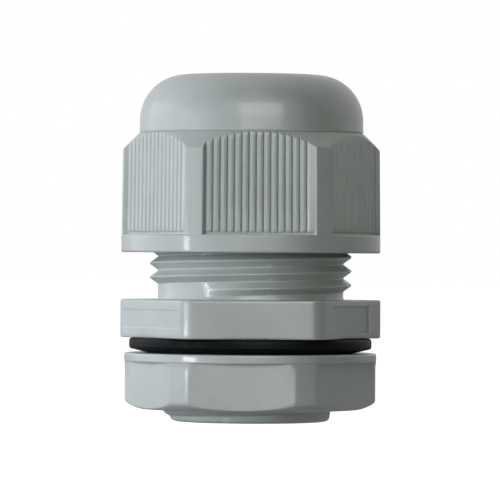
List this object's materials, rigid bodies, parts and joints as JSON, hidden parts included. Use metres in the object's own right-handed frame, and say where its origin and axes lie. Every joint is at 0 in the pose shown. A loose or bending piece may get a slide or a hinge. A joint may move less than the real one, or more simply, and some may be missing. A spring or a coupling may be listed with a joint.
{
  "type": "cable gland",
  "caption": "Nylon cable gland with a domed, ribbed compression nut over a slotted clamping claw and rubber seal, a hexagon body, a rubber gasket and a locknut.",
  "frame": {"origin": "centre of the entry thread's open end, on the face that the gland stands on", "axes": "+Z along the cable, out of the dome nut; -Y faces one flat of the body hexagon, within 1 degree; the dome nut is drawn about 3 turns from clamped"},
  "size_m": [0.0372, 0.037, 0.0494],
  "materials": {
    "body_nylon": "moulded light grey nylon, semi-gloss",
    "nut_nylon": "moulded light grey nylon, semi-gloss",
    "locknut_nylon": "moulded light grey nylon, semi-gloss",
    "claw_nylon": "moulded light grey nylon, satin",
    "seal_rubber": "moulded black rubber, matte",
    "gasket_rubber": "moulded black rubber, slightly glossy"
  },
  "bodies": {
    "housing": {"gland_body": "body_nylon", "claw_ring": "claw_nylon"},
    "seal": {"sealing_insert": "seal_rubber"},
    "dome_nut": {"sealing_nut": "nut_nylon"},
    "washer": {"gasket": "gasket_rubber"},
    "lock": {"locknut": "locknut_nylon"},
    "finger_01": {"claw_finger_01": "claw_nylon"},
    "finger_02": {"claw_finger_02": "claw_nylon"},
    "finger_03": {"claw_finger_03": "claw_nylon"},
    "finger_04": {"claw_finger_04": "claw_nylon"},
    "finger_05": {"claw_finger_05": "claw_nylon"},
    "finger_06": {"claw_finger_06": "claw_nylon"},
    "finger_07": {"claw_finger_07": "claw_nylon"},
    "finger_08": {"claw_finger_08": "claw_nylon"},
    "finger_09": {"claw_finger_09": "claw_nylon"},
    "finger_10": {"claw_finger_10": "claw_nylon"},
    "finger_11": {"claw_finger_11": "claw_nylon"},
    "finger_12": {"claw_finger_12": "claw_nylon"}
  },
  "joints": [
    {"name": "nut_turn", "type": "hinge", "parent": "seal", "child": "dome_nut", "pos_m": [0, 0, 0.0241], "axis": [0, 0, 1], "range_deg": [-1080, 1620]},
    {"name": "nut_travel", "type": "slide", "parent": "housing", "child": "seal", "axis": [0, 0, 1], "range_m": [-0.00601, 0.00901]},
    {"name": "locknut_turn", "type": "hinge", "parent": "washer", "child": "lock", "pos_m": [0, 0, 0.0058], "axis": [0, 0, 1], "range_deg": [-2880, 0]},
    {"name": "locknut_travel", "type": "slide", "parent": "housing", "child": "washer", "axis": [0, 0, 1], "range_m": [-0.01201, 0]},
    {"name": "finger_01_bend", "type": "hinge", "parent": "housing", "child": "finger_01", "pos_m": [0.0112, 0, 0.03312], "axis": [0, 1, 0], "range_deg": [-8.5, 12.7]},
    {"name": "finger_02_bend", "type": "hinge", "parent": "housing", "child": "finger_02", "pos_m": [0.0097, 0.0056, 0.03312], "axis": [-0.5, 0.866, 0], "range_deg": [-8.5, 12.7]},
    {"name": "finger_03_bend", "type": "hinge", "parent": "housing", "child": "finger_03", "pos_m": [0.0056, 0.0097, 0.03312], "axis": [-0.866, 0.5, 0], "range_deg": [-8.5, 12.7]},
    {"name": "finger_04_bend", "type": "hinge", "parent": "housing", "child": "finger_04", "pos_m": [0, 0.0112, 0.03312], "axis": [-1, 0, 0], "range_deg": [-8.5, 12.7]},
    {"name": "finger_05_bend", "type": "hinge", "parent": "housing", "child": "finger_05", "pos_m": [-0.0056, 0.0097, 0.03312], "axis": [-0.866, -0.5, 0], "range_deg": [-8.5, 12.7]},
    {"name": "finger_06_bend", "type": "hinge", "parent": "housing", "child": "finger_06", "pos_m": [-0.0097, 0.0056, 0.03312], "axis": [-0.5, -0.866, 0], "range_deg": [-8.5, 12.7]},
    {"name": "finger_07_bend", "type": "hinge", "parent": "housing", "child": "finger_07", "pos_m": [-0.0112, 0, 0.03312], "axis": [0, -1, 0], "range_deg": [-8.5, 12.7]},
    {"name": "finger_08_bend", "type": "hinge", "parent": "housing", "child": "finger_08", "pos_m": [-0.0097, -0.0056, 0.03312], "axis": [0.5, -0.866, 0], "range_deg": [-8.5, 12.7]},
    {"name": "finger_09_bend", "type": "hinge", "parent": "housing", "child": "finger_09", "pos_m": [-0.0056, -0.0097, 0.03312], "axis": [0.866, -0.5, 0], "range_deg": [-8.5, 12.7]},
    {"name": "finger_10_bend", "type": "hinge", "parent": "housing", "child": "finger_10", "pos_m": [0, -0.0112, 0.03312], "axis": [1, 0, 0], "range_deg": [-8.5, 12.7]},
    {"name": "finger_11_bend", "type": "hinge", "parent": "housing", "child": "finger_11", "pos_m": [0.0056, -0.0097, 0.03312], "axis": [0.866, 0.5, 0], "range_deg": [-8.5, 12.7]},
    {"name": "finger_12_bend", "type": "hinge", "parent": "housing", "child": "finger_12", "pos_m": [0.0097, -0.0056, 0.03312], "axis": [0.5, 0.866, 0], "range_deg": [-8.5, 12.7]}
  ],
  "couplings": [
    {"joint": "nut_travel", "follows": "nut_turn", "m_per_rad": 0.00031831},
    {"joint": "locknut_travel", "follows": "locknut_turn", "m_per_rad": 0.00023873},
    {"joint": "finger_01_bend", "follows": "nut_turn", "ratio": 0.0077778},
    {"joint": "finger_02_bend", "follows": "nut_turn", "ratio": 0.0077778},
    {"joint": "finger_03_bend", "follows": "nut_turn", "ratio": 0.0077778},
    {"joint": "finger_04_bend", "follows": "nut_turn", "ratio": 0.0077778},
    {"joint": "finger_05_bend", "follows": "nut_turn", "ratio": 0.0077778},
    {"joint": "finger_06_bend", "follows": "nut_turn", "ratio": 0.0077778},
    {"joint": "finger_07_bend", "follows": "nut_turn", "ratio": 0.0077778},
    {"joint": "finger_08_bend", "follows": "nut_turn", "ratio": 0.0077778},
    {"joint": "finger_09_bend", "follows": "nut_turn", "ratio": 0.0077778},
    {"joint": "finger_10_bend", "follows": "nut_turn", "ratio": 0.0077778},
    {"joint": "finger_11_bend", "follows": "nut_turn", "ratio": 0.0077778},
    {"joint": "finger_12_bend", "follows": "nut_turn", "ratio": 0.0077778}
  ]
}
